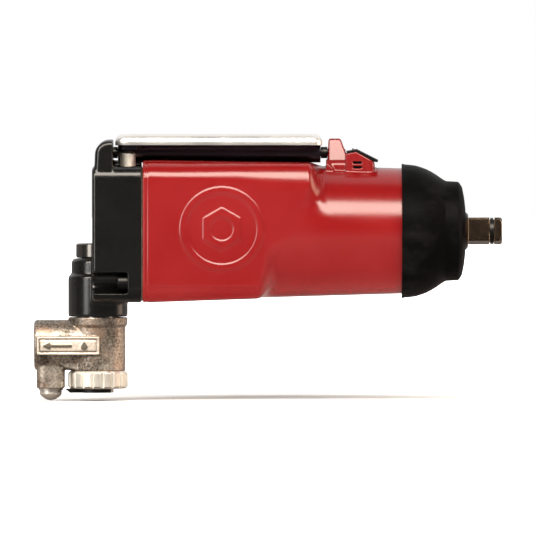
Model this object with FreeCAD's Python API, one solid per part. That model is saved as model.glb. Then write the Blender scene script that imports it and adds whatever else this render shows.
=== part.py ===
"""Butterfly-throttle air impact wrench with a 3/8 inch square drive, in millimetres.

The drive turns about the X axis and points to +X. The origin is the middle of the square's front
face. +Z is up, towards the throttle lever. Every sub-part is one STEP file in parts/.
"""
import FreeCAD, Part
import math
import os

# Driving dimensions ---------------------------------------------------------------------------

DRIVE_AF = 9.525          # 3/8 inch square drive, across flats
DRIVE_ROLL = 11.0         # degrees the square stands turned about its axis at rest
BARREL_R = 25.0           # round front of the tool, at the nose
BARREL_BACK_R = 26.5      # the barrel's casting draft widens it towards the grip
BARREL_BACK_X = -90.0
GRIP_TOP = 28.5           # flat top of the rear grip above the drive axis
GRIP_BOTTOM = 28.3        # depth of the rear grip below the axis, at its back
GRIP_SIDE = 26.4          # half width of the rear grip
EMBLEM_PROUD = 0.5        # round emblem raised on each side of the grip

NOSE_X = -14.4            # front face of the rubber boot
SPLIT_X = -38.0           # nose housing meets the motor housing
GRIP_FRONT_X = -74.4      # top front corner of the boxy grip
GRIP_LEAN = 21.6          # how much further back its bottom front corner is
HOUSING_BACK_X = -143.6   # back of the motor housing
COVER_BACK_X = -163.8     # back of the rear cover
GASKET = 0.5              # thickness of the two flat gaskets

LEVER_AXIS_Z = 31.4       # throttle lever pin above the drive axis
LEVER_BACK_X = -154.6
LEVER_FRONT_X = -72.0
LEVER_HALF = 17.5         # half width of the lever
TUBE_R = 4.0              # the lever's tube round its pin
PLUNGER_X = -149.6        # throttle plungers
PLUNGER_Y = 10.2
INLET_X = -161.6          # vertical axis of the swivel inlet and the power regulator

RUN = 0.05                # radial clearance of every running fit
FIT = 0.02                # radial clearance of every fixed fit
VANES = 5


# Small shape helpers --------------------------------------------------------------------------

def vec(x, y, z):
    return FreeCAD.Vector(x, y, z)


X_AXIS = vec(1, 0, 0)
Y_AXIS = vec(0, 1, 0)
Z_AXIS = vec(0, 0, 1)


def rod_x(radius, x0, x1, y=0.0, z=0.0):
    """Round bar along X from x0 to x1."""
    return Part.makeCylinder(radius, x1 - x0, vec(x0, y, z), X_AXIS)


def rod_y(radius, y0, y1, x=0.0, z=0.0):
    """Round bar along Y from y0 to y1."""
    return Part.makeCylinder(radius, y1 - y0, vec(x, y0, z), Y_AXIS)


def rod_z(radius, z0, z1, x=0.0, y=0.0):
    """Round bar along Z from z0 to z1."""
    return Part.makeCylinder(radius, z1 - z0, vec(x, y, z0), Z_AXIS)


def block(x0, x1, y0, y1, z0, z1):
    return Part.makeBox(x1 - x0, y1 - y0, z1 - z0, vec(x0, y0, z0))


def ring_x(outer, inner, x0, x1):
    """Plain ring about the drive axis."""
    return rod_x(outer, x0, x1).cut(rod_x(inner, x0 - 1, x1 + 1))


def ring_z(outer, inner, z0, z1, x, y=0.0):
    return rod_z(outer, z0, z1, x, y).cut(rod_z(inner, z0 - 1, z1 + 1, x, y))


def plate(points, thickness_axis, low, high):
    """Extrude a closed outline of points from low to high along an axis ("x", "y" or "z")."""
    place = {
        "x": lambda a, b: vec(low, a, b),
        "y": lambda a, b: vec(a, low, b),
        "z": lambda a, b: vec(a, b, low),
    }[thickness_axis]
    along = {"x": X_AXIS, "y": Y_AXIS, "z": Z_AXIS}[thickness_axis]
    corners = [place(a, b) for a, b in points]
    face = Part.Face(Part.makePolygon(corners + corners[:1]))
    return face.extrude(along * (high - low))


def turned_x(outline):
    """Turn a closed outline of (x, radius) points about the drive axis."""
    corners = [vec(x, 0, r) for x, r in outline]
    face = Part.Face(Part.makePolygon(corners + corners[:1]))
    return face.revolve(vec(0, 0, 0), X_AXIS, 360)


def turned_z(outline, x, y=0.0):
    """Turn a closed outline of (radius, z) points about a vertical line."""
    corners = [vec(x + r, y, z) for r, z in outline]
    face = Part.Face(Part.makePolygon(corners + corners[:1]))
    return face.revolve(vec(x, y, 0), Z_AXIS, 360)


def bar_x(corners_radius, across, x0, x1, sides, roll=0.0):
    """Prism along the drive axis with a regular cross-section, across its flats."""
    reach = across / 2 / math.cos(math.pi / sides)
    points = []
    for i in range(sides):
        angle = math.radians(roll) + (i + 0.5) * 2 * math.pi / sides
        points.append((reach * math.sin(angle), reach * math.cos(angle)))
    prism = plate(points, "x", x0, x1)
    if corners_radius:
        prism = prism.makeFillet(corners_radius, edges_along(prism, X_AXIS))
    return prism


def edges_along(shape, axis, test=lambda edge: True):
    """The straight edges of a shape that run along an axis and pass a test."""
    found = []
    for edge in shape.Edges:
        if not isinstance(edge.Curve, Part.Line):
            continue
        first, last = edge.Vertexes[0].Point, edge.Vertexes[-1].Point
        if (last - first).normalize().cross(axis).Length < 1e-6 and test(edge):
            found.append(edge)
    return found


def around_x(shape, count, start=0.0):
    """Copies of a shape spaced evenly about the drive axis."""
    return [shape.rotated(vec(0, 0, 0), X_AXIS, start + i * 360 / count) for i in range(count)]


def joined(shapes):
    whole = shapes[0]
    for shape in shapes[1:]:
        whole = whole.fuse(shape)
    return whole.removeSplitter()


def save(name, shapes):
    """Write one node: a single solid, or a group of separate solids."""
    solids = []
    for shape in shapes if isinstance(shapes, list) else [shapes]:
        solids += shape.Solids
    whole = solids[0] if len(solids) == 1 else Part.makeCompound(solids)
    whole.exportStep("parts/" + name + ".step")


# Stations and sizes inside the tool -----------------------------------------------------------

MOTOR_BORE = 20.0         # bore of the motor housing round the cylinder and end plates
CHAMBER_BORE = 16.5       # bore round the hammer cage
REAR_PLATE_X = -143.4     # back of the rear end plate
CYLINDER_BACK_X = -133.4
CYLINDER_FRONT_X = -93.4
CHAMBER_BACK_X = -83.4    # front of the motor bore
END_GAP = 0.2             # axial gap at each end of the rotor

ROTOR_R = 15.1
CYLINDER_BORE = 16.5
CYLINDER_OFFSET = 1.0     # how far the cylinder bore sits above the drive axis
VANE_THICK = 1.6
VANE_TIP = 15.15
VANE_ROOT = 8.6

CAGE_BACK_X = -81.5
CAGE_FRONT_X = -37.4
CAGE_R = 16.0
HAMMER_PIN_R = 2.0
HAMMER_PIN_Z = 12.6

JOURNAL_R = 8.0           # anvil journal in its bush
BUSH_BACK_X = -34.4
BUSH_FRONT_X = -16.0

PIN_R = 1.5               # lever pin
NOSE_SCREW_R = 20.4       # pitch radius of the four nose screws
NOSE_SCREW_THREAD = 1.5
COVER_SCREWS = ((18.4, 18.0), (20.4, -20.4))    # Y and Z of the upper and lower pair
COVER_SCREW_SEAT_X = -149.6
COVER_SCREW_THREAD = 2.0

STEM_BORE_Z = -22.0       # top of the inlet stem inside the cover
STEM_THREAD_R = 6.3
STEM_R = 7.0              # plain part of the stem, inside the swivel
BOSS_FOOT_Z = -34.2       # underside of the inlet boss
SWIVEL_FOOT_Z = -55.8     # underside of the swivel barrel
ARM_Z = -45.6             # axis of the horizontal inlet port
ARM_BACK_X = -187.2
PORT_R = 5.7              # 1/4 inch pipe thread, mean bore radius
OIL_BOSS_X = -180.5


# Fasteners ------------------------------------------------------------------------------------

def cap_screw(thread_r, seat_x, length, y, z):
    """Socket head cap screw driven in +X, with its head behind seat_x."""
    head_r = thread_r * 1.8
    head_h = thread_r * 2
    head = rod_x(head_r, seat_x - head_h, seat_x, y, z)
    head = head.makeChamfer(0.3, [e for e in head.Edges if e.BoundBox.XMax < seat_x - head_h + 0.1])
    socket = bar_x(0, thread_r * 1.6, seat_x - head_h - 1, seat_x - head_h + thread_r, 6)
    socket = socket.translated(vec(0, y, z))
    return head.cut(socket).fuse(rod_x(thread_r, seat_x, seat_x + length, y, z))


def nose_screw_places():
    """Y and Z of the four nose screws."""
    reach = NOSE_SCREW_R * math.sqrt(0.5)
    return [(y, z) for y in (-reach, reach) for z in (-reach, reach)]


def cover_screw_places():
    return [(side * y, z) for side in (-1, 1) for y, z in COVER_SCREWS]


# Motor housing --------------------------------------------------------------------------------

GRIP_NECK_X = -58.0       # where the tapering grip section ends inside the barrel
GRIP_TOP_FRONT = 27.2
GRIP_BOTTOM_FRONT = 25.4
GRIP_TOP_ROUND = 8.5
GRIP_BOTTOM_ROUND = 5.5
END_SWEEP = 0.45          # how far the end of the grip sweeps back towards its sides, per mm
END_ROUND = 4.0
RIM_GROOVE = 0.4          # fine groove round the grip behind its rear rim
TUBE_GAP = 0.5            # between the lever's tube and its channel
POST_TOP = 37.0
TOWER_HALF = 10.0
TOWER_BACK_X = -62.4
TOWER_FRONT_X = -50.4
TOWER_PEAK = (-58.4, 31.8)
TOWER_BROW = (-51.0, 27.6)


def grip_bar(sunk=0.0):
    """Boxy grip with rounded long edges, lower towards its front; sunk shrinks it all round."""
    back, neck, side = HOUSING_BACK_X, GRIP_NECK_X, GRIP_SIDE - sunk
    bar = plate([(back, sunk - GRIP_BOTTOM), (neck, sunk - GRIP_BOTTOM_FRONT), (neck, GRIP_TOP_FRONT - sunk),
                 (back, GRIP_TOP - sunk)], "y", -side, side)
    upper = [e for e in bar.Edges if e.BoundBox.XLength > 20 and e.CenterOfMass.z > 0]
    bar = bar.makeFillet(GRIP_TOP_ROUND - sunk, upper)
    lower = [e for e in bar.Edges if e.BoundBox.XLength > 20 and abs(e.CenterOfMass.y) > side - 0.1
             and e.BoundBox.ZMax < sunk - GRIP_BOTTOM_FRONT + 0.1]
    return bar.makeFillet(GRIP_BOTTOM_ROUND - sunk, lower)


def grip_end():
    """Everything in front of the swept, leaning end of the grip."""
    ridge_x = GRIP_FRONT_X + END_SWEEP * (GRIP_SIDE + 4)
    far = 60.0
    outline = [(ridge_x, 0), (ridge_x - END_SWEEP * far, far), (far, far),
               (far, -far), (ridge_x - END_SWEEP * far, -far)]
    lean = GRIP_LEAN / (GRIP_TOP + GRIP_BOTTOM)
    corners = [vec(x - lean * far, y, GRIP_TOP - far) for x, y in outline]
    foot = Part.Face(Part.makePolygon(corners + corners[:1]))
    return foot.extrude(vec(lean * 2 * far, 0, 2 * far))


def grip():
    """The grip bar cut off at its swept end, with that end's rim rounded."""
    body = grip_bar().cut(grip_end())
    rim = [e for e in body.Edges if e.BoundBox.XMin > -110 and e.BoundBox.XMax < GRIP_NECK_X
           and (e.BoundBox.YLength > 0.5 or e.BoundBox.ZLength > 5) and abs(e.CenterOfMass.y) > 1]
    return body.makeFillet(END_ROUND, rim)


def barrel():
    """Round front of the casting, with its draft."""
    front = SPLIT_X - GASKET
    return Part.makeCone(BARREL_BACK_R, BARREL_R, front - BARREL_BACK_X, vec(BARREL_BACK_X, 0, 0), X_AXIS)


def emblem(sign):
    """Round emblem with a plain hexagon nut, cast on one side of the grip."""
    y0, y1 = sorted((sign * (GRIP_SIDE - 1), sign * (GRIP_SIDE + EMBLEM_PROUD)))
    x, z = -112.0, 1.2
    rim = rod_y(16.8, y0, y1, x, z).cut(rod_y(14.0, y0 - 1, y1 + 1, x, z))
    nut = bar_x(0, 15.0, y0, y1, 6).rotated(vec(0, 0, 0), Z_AXIS, 90).translated(vec(x, 0, z))
    return rim.fuse(nut.cut(rod_y(4.6, y0 - 1, y1 + 1, x, z)))


def post():
    """Tapered post that carries the front of the lever pin, on its saddle."""
    def ring(x0, x1, half, z):
        corners = [vec(x0, -half, z), vec(x1, -half, z), vec(x1, half, z), vec(x0, half, z)]
        return Part.makePolygon(corners + corners[:1])

    body = Part.makeLoft([ring(-69.8, -61.4, 7.5, GRIP_TOP), ring(-69.4, -64.6, 4.6, POST_TOP)], True, True)
    body = body.makeFillet(0.8, [e for e in body.Edges if e.BoundBox.ZMax > POST_TOP - 0.1])
    saddle = block(-76.0, -60.6, -9.0, 9.0, 12.0, GRIP_TOP)
    saddle = saddle.makeFillet(2.5, edges_along(saddle, X_AXIS, lambda e: e.CenterOfMass.z > 20))
    return body.fuse(saddle)


def tower():
    """Exhaust tower with a sloping top, two louvres in each side and a hollow inside."""
    outline = [(TOWER_BACK_X, 12.0), (TOWER_BACK_X, 31.0), TOWER_PEAK, TOWER_BROW, (TOWER_FRONT_X, 12.0)]
    body = plate(outline, "y", -TOWER_HALF, TOWER_HALF)
    upright = [e for e in body.Edges if e.BoundBox.YLength < 0.1 and e.BoundBox.ZMin < 12.1
               and e.BoundBox.ZMax > 20 and e.CenterOfMass.x > -52]
    body = body.makeFillet(2.5, upright)
    return body


def exhaust_way():
    """Passage from the motor bore up into the tower, and its louvres."""
    gallery = block(-112.0, -53.0, -5.0, 5.0, 18.9, 23.2)
    hollow = block(TOWER_BACK_X + 2.4, TOWER_FRONT_X - 2.4, -TOWER_HALF + 2, TOWER_HALF - 2, 19.4, 40.0)
    slots = [block(-59.8, -56.0, -20.0, 20.0, z, z + 0.9) for z in (25.2, 27.0)]
    return joined([gallery, hollow] + slots)


def tube_channel(x0, x1):
    """Shallow channel in which the lever's tube turns."""
    return rod_x(TUBE_R + TUBE_GAP, x0, x1, 0, LEVER_AXIS_Z)


def motor_housing():
    body = grip().fuse(barrel())
    body = joined([body, emblem(-1), emblem(1), post(), tower()])
    body = body.cut(rod_x(MOTOR_BORE, HOUSING_BACK_X - 1, CHAMBER_BACK_X))
    body = body.cut(rod_x(CHAMBER_BORE, CHAMBER_BACK_X - 1, SPLIT_X))
    body = body.cut(exhaust_way())
    body = body.cut(rod_x(PIN_R + FIT, -80.0, -60.0, 0, LEVER_AXIS_Z))
    body = body.cut(tube_channel(HOUSING_BACK_X - 1, LEVER_FRONT_X - 0.2))
    for y, z in nose_screw_places():
        body = body.cut(rod_x(NOSE_SCREW_THREAD + FIT, -49.0, SPLIT_X, y, z))
    for y, z in cover_screw_places():
        body = body.cut(rod_x(COVER_SCREW_THREAD + FIT, HOUSING_BACK_X - 1, -127.0, y, z))
    groove = rod_x(60, HOUSING_BACK_X + 1.4, HOUSING_BACK_X + 1.8).cut(grip_bar(RIM_GROOVE))
    return body.cut(groove).removeSplitter()


# Rear cover -----------------------------------------------------------------------------------

COVER_FRONT_X = HOUSING_BACK_X - GASKET
COVER_SIDE = 25.6
COVER_TOP = 26.2
COVER_BOTTOM = 28.2
HORN_BACK_X = -162.4
HORN_FRONT_X = -155.6
HORN_TOP = 36.4
HORN_ROUND = 5.6
HORN_SIDE = 24.2
DUCT_X = -148.6
PLUNGER_R = 3.2
SLEEVE_R = 4.0
SPRING_SEAT_Z = 1.2
KNOB_SLOT = (-10.9, -4.7)


def cover_block():
    body = block(COVER_BACK_X, COVER_FRONT_X, -COVER_SIDE, COVER_SIDE, -COVER_BOTTOM, COVER_TOP)
    body = body.makeFillet(5.0, edges_along(body, X_AXIS, lambda e: e.CenterOfMass.z > 0))
    body = body.makeFillet(6.0, [e for e in edges_along(body, X_AXIS)
                                 if e.CenterOfMass.z < -COVER_BOTTOM + 0.1
                                 and abs(e.CenterOfMass.y) > COVER_SIDE - 0.1])
    back = [e for e in body.Edges if e.BoundBox.XMax < COVER_BACK_X + 0.01]
    return body.makeFillet(1.6, back)


def horn():
    """Horn that guards the back of the lever and holds the back of its pin."""
    side = plate([(HORN_BACK_X - 1.0, 12.0), (HORN_BACK_X, HORN_TOP), (HORN_FRONT_X, HORN_TOP),
                  (HORN_FRONT_X, 12.0)], "y", -COVER_SIDE, COVER_SIDE)
    crest = [e for e in edges_along(side, Y_AXIS) if e.CenterOfMass.z > HORN_TOP - 0.1
             and e.CenterOfMass.x < HORN_BACK_X + 0.1]
    side = side.makeFillet(HORN_ROUND, crest)
    back = plate([(-COVER_SIDE, 12.0), (-HORN_SIDE, HORN_TOP), (HORN_SIDE, HORN_TOP), (COVER_SIDE, 12.0)],
                 "x", -180, -140)
    body = side.common(back)
    rim = [e for e in body.Edges if e.BoundBox.ZMin > 20 and e.BoundBox.XLength > 2
           and abs(e.CenterOfMass.y) > HORN_SIDE - 2]
    return body.makeFillet(2.0, rim)


def pin_rib():
    """Low rib between the plungers, from the horn to the housing."""
    rib = block(HORN_FRONT_X - 1.0, COVER_FRONT_X, -5.0, 5.0, 20.0, 28.3)
    return rib.cut(tube_channel(HORN_FRONT_X, COVER_FRONT_X + 1))


def inlet_boss():
    outline = [(0, BOSS_FOOT_Z), (11.9, BOSS_FOOT_Z), (11.9, -18.4), (10.6, -16.8), (10.6, -12.2),
               (9.6, KNOB_SLOT[0]), (0, KNOB_SLOT[0])]
    return turned_z(outline, INLET_X)


def rear_cover():
    body = joined([cover_block(), horn(), pin_rib(), inlet_boss()])
    body = body.cut(rod_z(9.4, KNOB_SLOT[0], KNOB_SLOT[1], INLET_X))
    for y, z in cover_screw_places():
        body = body.cut(rod_x(4.2, -190, COVER_SCREW_SEAT_X, y, z))
        body = body.cut(rod_x(COVER_SCREW_THREAD + 0.15, -190, -140, y, z))
        if z < 0:
            y0, y1 = sorted((y, math.copysign(30, y)))
            body = body.cut(block(-190, COVER_SCREW_SEAT_X, y0, y1, z - 4.2, z + 4.2))
    for y in (-PLUNGER_Y, PLUNGER_Y):
        body = body.cut(rod_z(SLEEVE_R + FIT, 8.0, 30.0, PLUNGER_X, y))
        body = body.cut(rod_z(PLUNGER_R + RUN, SPRING_SEAT_Z, 9.0, PLUNGER_X, y))
        body = body.cut(rod_x(1.6, PLUNGER_X, -140, y, OUTLET_Z))
    body = body.cut(rod_y(1.6, -PLUNGER_Y, PLUNGER_Y, PLUNGER_X, SUPPLY_Z))
    body = body.cut(rod_z(1.9, -17.0, SUPPLY_Z, DUCT_X))
    body = body.cut(rod_x(1.9, INLET_X, DUCT_X, 0, -17.0))
    body = body.cut(rod_z(CORE_R + RUN, STEM_BORE_Z - 0.1, KNOB_SLOT[0] + 1, INLET_X))
    body = body.cut(rod_z(STEM_THREAD_R + FIT, BOSS_FOOT_Z - 1, STEM_BORE_Z, INLET_X))
    body = body.cut(rod_x(PIN_R + FIT, -161.0, -150.0, 0, LEVER_AXIS_Z))
    return body.removeSplitter()


def gasket_outline(x0, x1):
    """Flat gasket that follows the rear of the grip."""
    sheet = block(x0, x1, -24.8, 24.8, -27.6, 25.4)
    sheet = sheet.makeFillet(6.0, edges_along(sheet, X_AXIS))
    sheet = sheet.cut(rod_x(MOTOR_BORE + 0.4, x0 - 1, x1 + 1))
    for y, z in cover_screw_places():
        sheet = sheet.cut(rod_x(COVER_SCREW_THREAD + 0.15, x0 - 1, x1 + 1, y, z))
    return sheet


# Lever, its pin and the plungers --------------------------------------------------------------

LEVER_TOP = 38.6
LEVER_SKIRT = 34.4
LEVER_WALL = 1.5
ROCKER_Z = 32.7           # underside of the pad that presses the plungers


def throttle_lever():
    """Die-cast lever: an upturned tray on a long tube, with a rocker pad over the plungers."""
    tray = block(LEVER_BACK_X, LEVER_FRONT_X, -LEVER_HALF, LEVER_HALF, LEVER_SKIRT, LEVER_TOP)
    tray = tray.makeFillet(5.0, edges_along(tray, Z_AXIS))
    tray = tray.makeFillet(3.0, [e for e in tray.Edges if e.BoundBox.ZMin > LEVER_TOP - 0.01])
    hollow = block(LEVER_BACK_X + LEVER_WALL, LEVER_FRONT_X - LEVER_WALL, -LEVER_HALF + LEVER_WALL,
                   LEVER_HALF - LEVER_WALL, LEVER_SKIRT - 1, LEVER_TOP - LEVER_WALL)
    hollow = hollow.makeFillet(4.0, edges_along(hollow, Z_AXIS))
    hollow = hollow.makeFillet(1.6, [e for e in hollow.Edges
                                     if e.BoundBox.ZMin > LEVER_TOP - LEVER_WALL - 0.01])
    tube = rod_x(TUBE_R, LEVER_BACK_X + 1, LEVER_FRONT_X - 0.6, 0, LEVER_AXIS_Z)
    web = block(LEVER_BACK_X + 3, LEVER_FRONT_X - 3, -1.2, 1.2, LEVER_AXIS_Z, LEVER_TOP - 1)
    pad = block(PLUNGER_X - 2.4, PLUNGER_X + 3.4, -LEVER_HALF + 2, LEVER_HALF - 2, ROCKER_Z, LEVER_TOP - 1)
    body = joined([tray.cut(hollow), tube, web, pad])
    return body.cut(rod_x(PIN_R + RUN, LEVER_BACK_X - 1, LEVER_FRONT_X + 1, 0, LEVER_AXIS_Z))


def lever_pin():
    pin = rod_x(PIN_R, -160.6, -62.6, 0, LEVER_AXIS_Z)
    return pin.makeChamfer(0.3, [e for e in pin.Edges if isinstance(e.Curve, Part.Circle)])


def lever_washers():
    """Spacers on the pin at both ends of the lever's tube."""
    gaps = ((LEVER_FRONT_X - 0.5, LEVER_FRONT_X + 2.15), (HORN_FRONT_X + 0.1, LEVER_BACK_X + 0.9))
    bore = rod_x(PIN_R + FIT, HORN_FRONT_X, LEVER_FRONT_X + 3, 0, LEVER_AXIS_Z)
    return [rod_x(2.3, x0, x1, 0, LEVER_AXIS_Z).cut(bore) for x0, x1 in gaps]


PLUNGER_TOP = 32.55
PLUNGER_FOOT = 10.4
PLUNGER_NECK_Z = (14.9, 19.4)
PLUNGER_SEAL_Z = 20.7
SUPPLY_Z = 18.5           # gallery that feeds both throttle valves
OUTLET_Z = 11.5           # ports from the valves to the motor
DOME_R = 4.0
NECK_R = 1.8
SEAL_GROOVE_R = 2.4


def plunger(y):
    """Throttle plunger: domed head, air neck, seal groove and a plain foot for its spring."""
    body = rod_z(PLUNGER_R, PLUNGER_FOOT, PLUNGER_TOP, PLUNGER_X, y)
    dome = Part.makeSphere(DOME_R, vec(PLUNGER_X, y, PLUNGER_TOP - DOME_R))
    dome = dome.fuse(rod_z(PLUNGER_R, PLUNGER_FOOT, PLUNGER_TOP - DOME_R + 1, PLUNGER_X, y))
    body = body.common(dome)
    body = body.cut(ring_z(5, NECK_R, *PLUNGER_NECK_Z, PLUNGER_X, y))
    return body.cut(ring_z(5, SEAL_GROOVE_R, PLUNGER_SEAL_Z - 0.45, PLUNGER_SEAL_Z + 0.45, PLUNGER_X, y))


def plunger_seal(y):
    return Part.makeTorus(2.8, 0.36, vec(PLUNGER_X, y, PLUNGER_SEAL_Z), Z_AXIS)


def valve_sleeves():
    sleeves = []
    for y in (-PLUNGER_Y, PLUNGER_Y):
        sleeve = ring_z(SLEEVE_R, PLUNGER_R + RUN, 8.0, COVER_TOP - 0.4, PLUNGER_X, y)
        sleeve = sleeve.cut(rod_y(1.6, -PLUNGER_Y, PLUNGER_Y, PLUNGER_X, SUPPLY_Z))
        sleeves.append(sleeve.cut(rod_x(1.6, PLUNGER_X, -140, y, OUTLET_Z)))
    return sleeves


def coil_spring(x, y, z0, z1, coil_r, wire_r, turns):
    """Round-wire spring, standing inside z0 to z1."""
    height = z1 - z0 - 2 * wire_r
    path = Part.makeHelix(height / turns, height, coil_r)
    profile = Part.Wire([Part.makeCircle(wire_r, vec(coil_r, 0, 0), Y_AXIS)])
    coil = Part.Wire(path).makePipeShell([profile], True, True)
    return coil.translated(vec(x, y, z0 + wire_r))


def plunger_spring(y):
    return coil_spring(PLUNGER_X, y, SPRING_SEAT_Z, PLUNGER_FOOT, 2.4, 0.35, 6)


# Power regulator ------------------------------------------------------------------------------

KNOB_R = 8.8
CORE_R = 4.5


def regulator_knob():
    """Knurled ring knob that turns in the slot of the cover."""
    low, high = KNOB_SLOT[0] + 0.2, KNOB_SLOT[1] - 0.2
    knob = rod_z(KNOB_R, low, high, INLET_X)
    knob = knob.makeChamfer(0.5, [e for e in knob.Edges if isinstance(e.Curve, Part.Circle)])
    cutter = rod_z(0.45, high - 2.6, high + 1, INLET_X + KNOB_R)
    flutes = [cutter.rotated(vec(INLET_X, 0, 0), Z_AXIS, i * 10) for i in range(-9, 10)]
    knob = knob.cut(Part.makeCompound(flutes))
    knob = knob.cut(rod_z(CORE_R + FIT, low - 1, high - 2.0, INLET_X))
    return knob.cut(rod_z(1.25 + FIT, high - 3, high + 1, INLET_X))


def regulator_valve():
    """Hollow valve core under the knob: its side port opens or closes the air duct."""
    high = KNOB_SLOT[1] - 2.2
    core = rod_z(CORE_R, STEM_BORE_Z + 0.2, high, INLET_X)
    core = core.cut(rod_z(3.0, STEM_BORE_Z - 1, -14.0, INLET_X))
    core = core.cut(rod_x(1.9, INLET_X, INLET_X + 10, 0, -17.0))
    core = core.cut(rod_z(1.25, high - 3.5, high + 1, INLET_X))
    return core.cut(ring_z(6, 3.6, -13.2, -11.8, INLET_X))


def regulator_seal():
    return Part.makeTorus(4.07, 0.45, vec(INLET_X, 0, -12.5), Z_AXIS)


def regulator_screw():
    """Countersunk screw that holds the knob on its core."""
    top = KNOB_SLOT[1] - 0.4
    slot = block(INLET_X - 3, INLET_X + 3, -0.25, 0.25, top - 0.7, top + 1)
    return rod_z(1.25, top - 4.6, top, INLET_X).cut(slot)


# Swivel inlet ---------------------------------------------------------------------------------

STEM_FOOT_Z = -64.6
NUT_R = 12.0
NUT_FLUTES = 18
COLLAR_Z = -37.6


def inlet_stem():
    """Hollow stem: screwed into the cover, plain where the swivel turns, threaded for its nut."""
    body = joined([rod_z(STEM_THREAD_R, BOSS_FOOT_Z, STEM_BORE_Z - 0.2, INLET_X),
                   rod_z(STEM_R, SWIVEL_FOOT_Z, BOSS_FOOT_Z, INLET_X),
                   rod_z(STEM_THREAD_R, STEM_FOOT_Z, SWIVEL_FOOT_Z, INLET_X)])
    body = body.cut(rod_z(4.2, -52.0, STEM_BORE_Z + 1, INLET_X))
    for angle in (0, 90):
        port = rod_x(2.2, INLET_X - 12, INLET_X + 12, 0, ARM_Z)
        body = body.cut(port.rotated(vec(INLET_X, 0, 0), Z_AXIS, angle))
    for z in (-39.6, -53.6):
        body = body.cut(ring_z(8, 5.6, z - 0.95, z + 0.95, INLET_X))
    return body


def swivel_seals():
    return [Part.makeTorus(6.35, 0.68, vec(INLET_X, 0, z), Z_AXIS) for z in (-39.6, -53.6)]


def swivel_nut():
    """Round fluted nut that holds the swivel on its stem."""
    low, high = STEM_FOOT_Z + 1.6, SWIVEL_FOOT_Z - 0.1
    nut = rod_z(NUT_R, low, high, INLET_X)
    nut = nut.makeChamfer(0.9, [e for e in nut.Edges if isinstance(e.Curve, Part.Circle)])
    groove = rod_z(0.75, low - 1, high + 1, INLET_X + NUT_R + 0.1)
    grooves = [groove.rotated(vec(INLET_X, 0, 0), Z_AXIS, i * 360 / NUT_FLUTES) for i in range(NUT_FLUTES)]
    return nut.cut(Part.makeCompound(grooves)).cut(rod_z(STEM_THREAD_R + FIT, low - 1, high + 1, INLET_X))


def swivel_clip():
    """Spring-steel locking plate under the nut, turned up at its free end."""
    low, high = STEM_FOOT_Z, STEM_FOOT_Z + 1.5
    strap = plate([(-172.8, low), (-156.4, low), (-156.4, high), (-174.6, high)], "y", -5.0, 5.0)
    disc = rod_z(8.6, low, high, INLET_X).common(block(-180, -156.4, -20, 20, low, high))
    return strap.fuse(disc).cut(rod_z(STEM_THREAD_R + FIT, low - 1, high + 1, INLET_X)).removeSplitter()


OIL_BOSS_R = 5.7
OIL_BOSS_FOOT_Z = -62.8
OIL_THREAD_R = 3.2
PORT_END_X = -173.6       # bottom of the threaded port
STRAINER_R = 4.9
STRAINER_RIM = 1.0


def framed_panel():
    """Raised panel with a sunk frame line, a drop and an arrow on the side of the inlet arm."""
    x0, x1, z0, z1, face = -186.0, -160.9, -49.4, -42.0, -11.9
    panel = block(x0, x1, face, 0, z0, z1)
    line = block(x0 + 0.9, x1 - 0.9, face - 1, face + 0.45, z0 + 0.9, z1 - 0.9)
    line = line.cut(block(x0 + 1.5, x1 - 1.5, face - 2, face + 2, z0 + 1.5, z1 - 1.5))
    panel = panel.cut(line)
    mid = (z0 + z1) / 2
    neck, tail = x0 + 5.4, x0 + 14.0
    arrow = plate([(x0 + 2.4, mid), (neck, mid + 1.5), (neck, mid + 0.5), (tail, mid + 0.5),
                   (tail, mid - 0.5), (neck, mid - 0.5), (neck, mid - 1.5)], "y", face - 0.3, face)
    drop_x, drop_r = x0 + 19.0, 1.25
    drop = rod_y(drop_r, face - 0.3, face, drop_x, mid - 0.4)
    half = drop_r * 0.87
    tip = plate([(drop_x - half, mid + 0.2), (drop_x, mid + 2.0), (drop_x + half, mid + 0.2)],
                "y", face - 0.3, face)
    return joined([panel, arrow, drop.fuse(tip)])


def swivel_body():
    """Cast swivel: upright barrel round the stem, inlet arm to the back and an oiling boss below."""
    barrel = turned_z([(0, SWIVEL_FOOT_Z), (11.0, SWIVEL_FOOT_Z), (11.0, COLLAR_Z - 0.6), (11.7, COLLAR_Z),
                       (11.9, -34.5), (0, -34.5)], INLET_X)
    arm = rod_x(10.1, ARM_BACK_X, INLET_X, 0, ARM_Z)
    arm = arm.makeFillet(1.4, [e for e in arm.Edges if e.BoundBox.XMax < ARM_BACK_X + 0.1])
    boss = block(OIL_BOSS_X - OIL_BOSS_R, OIL_BOSS_X + OIL_BOSS_R, -6.5, 6.5, OIL_BOSS_FOOT_Z, ARM_Z)
    boss = boss.makeFillet(3.6, edges_along(boss, Z_AXIS))
    web = plate([(OIL_BOSS_X, -50.0), (OIL_BOSS_X + OIL_BOSS_R, -54.6), (INLET_X - 6, SWIVEL_FOOT_Z),
                 (INLET_X, SWIVEL_FOOT_Z), (INLET_X, -45.0), (OIL_BOSS_X, -45.0)], "y", -7.5, 7.5)
    body = joined([barrel, arm, boss, web, framed_panel()])
    body = body.cut(rod_z(STEM_R + RUN, SWIVEL_FOOT_Z - 1, -30, INLET_X))
    body = body.cut(rod_z(8.6, ARM_Z - 3.5, ARM_Z + 3.5, INLET_X))
    body = body.cut(rod_x(PORT_R, ARM_BACK_X - 1, PORT_END_X, 0, ARM_Z))
    body = body.cut(rod_x(STRAINER_R, ARM_BACK_X, PORT_END_X + STRAINER_RIM, 0, ARM_Z))
    body = body.cut(rod_x(4.4, ARM_BACK_X, INLET_X - 5, 0, ARM_Z))
    return body.cut(rod_z(OIL_THREAD_R + FIT, OIL_BOSS_FOOT_Z - 1, ARM_Z - 3, OIL_BOSS_X)).removeSplitter()


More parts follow.
